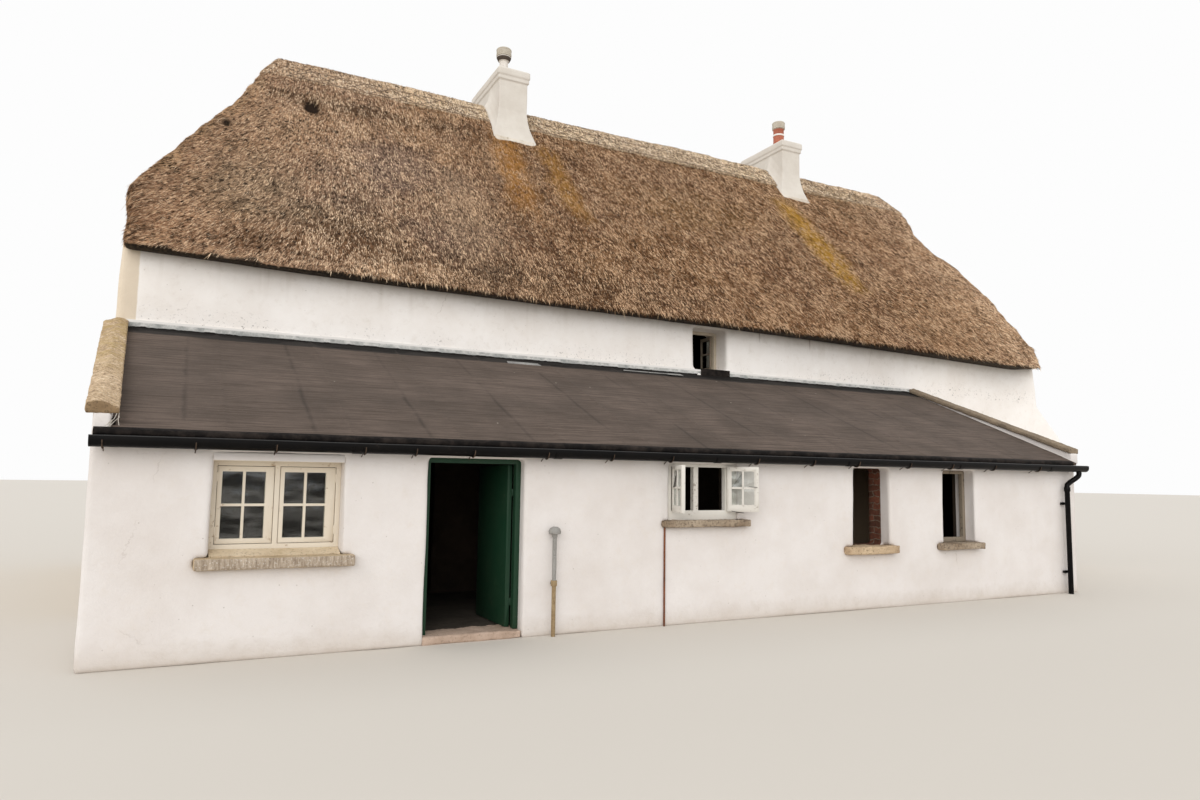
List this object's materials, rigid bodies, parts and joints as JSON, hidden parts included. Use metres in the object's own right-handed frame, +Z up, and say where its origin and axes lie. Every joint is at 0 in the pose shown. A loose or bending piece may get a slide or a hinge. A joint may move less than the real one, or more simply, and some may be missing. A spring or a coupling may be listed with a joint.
{
  "type": "thatched cottage",
  "caption": "Long limewashed cottage with a hipped thatched roof, two ridge chimneys and a felt-roofed lean-to with a door and small windows across its front.",
  "frame": {"origin": "on the ground, at the middle of the house's footprint box", "axes": "+X along the front towards the buttress, +Y from the lean-to's front towards the back, +Z up"},
  "size_m": [16.41, 9.3734, 8.97],
  "materials": {
    "limewash": "matt painted rubble masonry",
    "coping_stone": "weathered sandstone with lichen",
    "sill_stone": "weathered sandstone",
    "concrete": "weathered concrete",
    "floor_timber": "bare sawn boards",
    "roofing_felt": "mineral felt, matt",
    "lead": "dull lead and mortar",
    "black_iron": "black gloss paint, weathered",
    "grey_steel": "dull galvanised",
    "rusty_steel": "rusted",
    "cream_paint": "old cream gloss paint",
    "white_paint": "old white paint",
    "window_glass": "clear",
    "green_paint": "dark green gloss paint",
    "thatch": "weathered straw",
    "clay": "unglazed fired clay"
  },
  "bodies": {
    "house": {"lean_front_wall_left": "limewash", "lean_front_wall_middle": "limewash", "lean_front_wall_right": "limewash", "lean_wall_head": "limewash", "lean_end_wall_left": "limewash", "lean_end_wall_right": "limewash", "main_front_wall": "limewash", "main_back_wall": "limewash", "main_gable_left": "limewash", "main_gable_right": "limewash", "right_buttress": "limewash", "chimney_1": "limewash", "chimney_2": "limewash", "coping_left": "coping_stone", "coping_right": "coping_stone", "window_2_sill": "sill_stone", "window_3_sill": "sill_stone", "window_4_sill": "sill_stone", "door_step": "sill_stone", "lean_floor": "concrete", "main_floor": "concrete", "window_1_sill": "concrete", "upper_floor": "floor_timber", "lean_roof_boards": "floor_timber", "lean_roof_felt": "roofing_felt", "roof_flashing": "lead", "gutter": "black_iron", "gutter_fascia": "black_iron", "downpipe": "black_iron", "vent_pipe": "grey_steel", "vent_cowl": "grey_steel", "chimney_1_cowl": "grey_steel", "chimney_2_cowl": "grey_steel", "steel_pipe": "rusty_steel", "window_1_frame": "cream_paint", "window_1_casement_left": "cream_paint", "window_1_casement_right": "cream_paint", "window_4_frame": "cream_paint", "window_2_frame": "white_paint", "window_2_casement_left": "white_paint", "window_2_casement_right": "white_paint", "upper_window_frame": "white_paint", "upper_window_casement": "white_paint", "back_window_lower": "white_paint", "back_window_upper": "white_paint", "window_1_casement_left_glass": "window_glass", "window_1_casement_right_glass": "window_glass", "window_2_casement_left_glass": "window_glass", "window_2_casement_right_glass": "window_glass", "upper_window_casement_glass": "window_glass", "back_window_lower_glass": "window_glass", "back_window_upper_glass": "window_glass", "door_frame": "green_paint", "thatch_roof": "thatch", "thatch_ridge_left": "thatch", "thatch_ridge_middle": "thatch", "thatch_ridge_right": "thatch", "chimney_1_pot": "clay", "chimney_2_pot": "clay"},
    "door": {"door_leaf": "green_paint"}
  },
  "joints": [
    {"name": "door_hinge", "type": "hinge", "parent": "house", "child": "door", "pos_m": [-4.48501, -4.18716, 0.8], "axis": [0, 0, 1], "range_deg": [-10, 90]}
  ]
}
